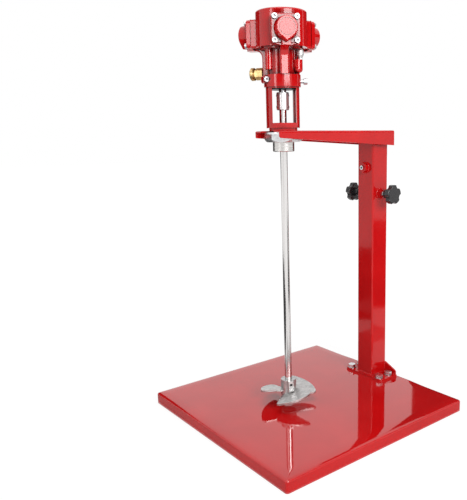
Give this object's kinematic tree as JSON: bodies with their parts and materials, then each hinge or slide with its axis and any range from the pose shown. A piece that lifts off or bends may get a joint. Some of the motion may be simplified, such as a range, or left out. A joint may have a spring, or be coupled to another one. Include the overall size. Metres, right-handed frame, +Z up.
{
  "type": "pneumatic paint mixer",
  "caption": "Stand-mounted pneumatic paint mixer: three-cylinder radial air motor over a long rod and propeller, on a height-adjustable arm above a square base plate.",
  "frame": {"origin": "middle of the base plate's underside, on the floor", "axes": "+Z up along the rod and the mast, +X from the rod towards the mast"},
  "size_m": [0.4, 0.4, 0.6889],
  "materials": {
    "red_enamel": "gloss red enamel",
    "zinc_steel": "bright zinc plate",
    "stainless_steel": "ground stainless steel",
    "dark_steel": "oiled dark steel",
    "cast_aluminium": "cast and tumbled",
    "brass": "turned brass",
    "black_plastic": "moulded, semi-gloss",
    "seal_rubber": "nitrile rubber"
  },
  "bodies": {
    "stand": {"base_plate": "red_enamel", "mast_foot": "red_enamel", "mast_gussets": "red_enamel", "mast_tube": "red_enamel", "weld_nuts": "red_enamel", "mast_set_screw": "dark_steel", "foot_bolts": "zinc_steel", "foot_washers": "zinc_steel", "foot_nuts": "zinc_steel"},
    "carriage": {"slide_tube": "red_enamel", "arm": "red_enamel", "seat_disc": "red_enamel", "neck_sleeve": "stainless_steel", "neck_bushes": "brass", "neck_washer": "zinc_steel", "neck_nut": "zinc_steel", "yoke": "red_enamel", "clamp_ring": "red_enamel", "clamp_ring_screw": "zinc_steel", "ring_lock_screw": "zinc_steel", "end_plate": "dark_steel", "shaft_seal": "seal_rubber", "valve_housing": "red_enamel", "housing_screws": "zinc_steel", "silencer": "zinc_steel", "crankcase": "red_enamel", "crankcase_cap": "red_enamel", "bearing_outer_races": "dark_steel", "bearing_balls": "dark_steel", "cover_screws": "zinc_steel", "cylinder_liners": "dark_steel", "cover_gaskets": "seal_rubber", "front_cover": "red_enamel", "right_cover": "red_enamel", "left_cover": "red_enamel", "air_valve_body": "brass", "hose_socket": "brass"},
    "rotor": {"crankshaft": "dark_steel", "crank_ring": "dark_steel", "bearing_inner_races": "dark_steel", "valve_sleeve": "dark_steel", "coupling": "stainless_steel", "grub_screws": "dark_steel", "mixing_rod": "stainless_steel", "propeller": "cast_aluminium"},
    "left_clamp_knob": {"left_knob": "black_plastic", "left_knob_stud": "zinc_steel"},
    "right_clamp_knob": {"right_knob": "black_plastic", "right_knob_stud": "zinc_steel"},
    "air_valve": {"valve_ball": "brass", "valve_lever": "black_plastic"},
    "front_piston_set": {"front_piston": "cast_aluminium", "front_piston_seal": "seal_rubber"},
    "right_piston_set": {"right_piston": "cast_aluminium", "right_piston_seal": "seal_rubber"},
    "left_piston_set": {"left_piston": "cast_aluminium", "left_piston_seal": "seal_rubber"}
  },
  "joints": [
    {"name": "mast_slide", "type": "slide", "parent": "stand", "child": "carriage", "axis": [0, 0, 1], "range_m": [0, 0.25]},
    {"name": "rotor_spin", "type": "hinge", "parent": "carriage", "child": "rotor", "pos_m": [-0.039, 0, 0.3], "axis": [0, 0, 1], "continuous": true},
    {"name": "left_knob_turn", "type": "hinge", "parent": "stand", "child": "left_clamp_knob", "pos_m": [0.174, 0.05, 0.384], "axis": [0, 1, 0], "range_deg": [0, 720]},
    {"name": "right_knob_turn", "type": "hinge", "parent": "stand", "child": "right_clamp_knob", "pos_m": [0.174, -0.05, 0.384], "axis": [0, -1, 0], "range_deg": [0, 720]},
    {"name": "air_valve_turn", "type": "hinge", "parent": "carriage", "child": "air_valve", "pos_m": [-0.05835, 0.03352, 0.5943], "axis": [0.866, 0.5, 0], "range_deg": [-90, 0]},
    {"name": "front_piston_stroke", "type": "slide", "parent": "carriage", "child": "front_piston_set", "axis": [-0.5, -0.866, 0], "range_m": [0, 0.01]},
    {"name": "right_piston_stroke", "type": "slide", "parent": "carriage", "child": "right_piston_set", "axis": [1, 0, 0], "range_m": [0, 0.01]},
    {"name": "left_piston_stroke", "type": "slide", "parent": "carriage", "child": "left_piston_set", "axis": [-0.5, 0.866, 0], "range_m": [0, 0.01]}
  ]
}
